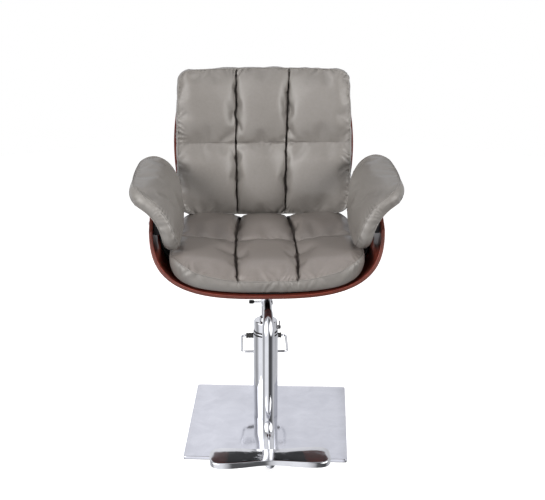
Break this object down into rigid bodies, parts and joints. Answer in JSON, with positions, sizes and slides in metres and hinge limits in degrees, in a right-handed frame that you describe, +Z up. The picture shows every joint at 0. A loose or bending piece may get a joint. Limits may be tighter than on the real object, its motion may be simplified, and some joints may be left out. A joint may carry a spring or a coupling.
{
  "type": "styling chair",
  "caption": "Salon styling chair: bent plywood seat and back shells with channelled leather cushions and winged arms, on a hydraulic column with a square base, rear pedal and T footrest.",
  "frame": {"origin": "on the base mat's underside at floor level, on the axis of the hydraulic column, which stands 38 mm behind the middle of the plate", "axes": "+Z up along the column's axis; -Y towards the front of the chair, where the footrest is; +X to the right seen from the front"},
  "size_m": [0.753, 0.766, 1.0278],
  "materials": {
    "chrome": "polished",
    "mirror_steel": "mirror-polished sheet, slightly wavy",
    "steel": "zinc-plated",
    "black_paint": "satin black",
    "black_plastic": "moulded, matt",
    "rubber": "matt",
    "wood": "red-brown veneer, lacquered",
    "leather": "soft grained, semi-matt, grey-taupe"
  },
  "bodies": {
    "base": {"base_mat": "rubber", "base_plate": "black_paint", "base_cover": "mirror_steel", "plate_bolt_1": "steel", "plate_bolt_2": "steel", "plate_bolt_3": "steel", "plate_bolt_4": "steel", "pump_cylinder": "steel", "pump_shroud": "chrome", "shroud_seal": "rubber", "shroud_lip": "chrome", "head_seal": "rubber", "pump_head": "chrome", "rod_wiper": "rubber", "pump_block": "steel", "pedal_pin": "steel", "lock_stud": "steel"},
    "plunger": {"pump_plunger": "steel"},
    "pedal": {"pedal_lever": "chrome", "pedal_loop": "chrome", "pedal_sleeve": "rubber"},
    "lock": {"lock_lever": "black_paint"},
    "ram": {"piston_rod": "chrome", "piston_head": "steel", "piston_seal": "rubber"},
    "seat": {"thrust_washer": "steel", "swivel_hub": "chrome", "seat_plate": "black_paint", "seat_rail_left": "black_paint", "seat_rail_right": "black_paint", "footrest_socket": "chrome", "seat_shell": "wood", "seat_liner": "black_plastic", "seat_cushion": "leather", "seat_bolt_1": "steel", "seat_bolt_2": "steel", "seat_bolt_3": "steel", "seat_bolt_4": "steel", "back_shell": "wood", "back_cushion": "leather", "back_spine": "black_paint", "spine_bolt_1": "steel", "spine_bolt_2": "steel", "spine_bolt_3": "steel", "spine_bolt_4": "steel", "arm_pad_left": "leather", "arm_pad_right": "leather", "arm_block_left": "black_plastic", "arm_block_right": "black_plastic", "arm_bolt_left_1": "steel", "arm_bolt_left_2": "steel", "arm_bolt_right_1": "steel", "arm_bolt_right_2": "steel"},
    "clamp": {"clamp_screw": "chrome", "clamp_knob": "rubber"},
    "footrest": {"footrest_tube": "chrome", "tube_cap": "chrome", "footplate": "chrome", "footplate_screw": "steel"}
  },
  "joints": [
    {"name": "seat_lift", "type": "slide", "parent": "base", "child": "ram", "axis": [0, 0, 1], "range_m": [0, 0.13]},
    {"name": "seat_swivel", "type": "hinge", "parent": "ram", "child": "seat", "pos_m": [0, 0, 0.4], "axis": [0, 0, 1], "continuous": true},
    {"name": "pedal_press", "type": "hinge", "parent": "base", "child": "pedal", "pos_m": [0, 0.06, 0.088], "axis": [-1, 0, 0], "range_deg": [0, 20], "stiffness_Nm_per_rad": 6, "springref_deg": -34.38},
    {"name": "plunger_slide", "type": "slide", "parent": "base", "child": "plunger", "axis": [0, -1, 0], "range_m": [0, 0.0068]},
    {"name": "lock_turn", "type": "hinge", "parent": "base", "child": "lock", "pos_m": [0.0348, 0, 0.2985], "axis": [1, 0, 0], "range_deg": [0, 70]},
    {"name": "footrest_slide", "type": "slide", "parent": "seat", "child": "footrest", "axis": [0, -1, 0], "range_m": [0, 0.04]},
    {"name": "clamp_turn", "type": "hinge", "parent": "seat", "child": "clamp", "pos_m": [0, -0.135, 0.4362], "axis": [1, 0, 0], "range_deg": [0, 360]}
  ],
  "couplings": [
    {"joint": "plunger_slide", "follows": "pedal_press", "m_per_rad": 0.018}
  ]
}
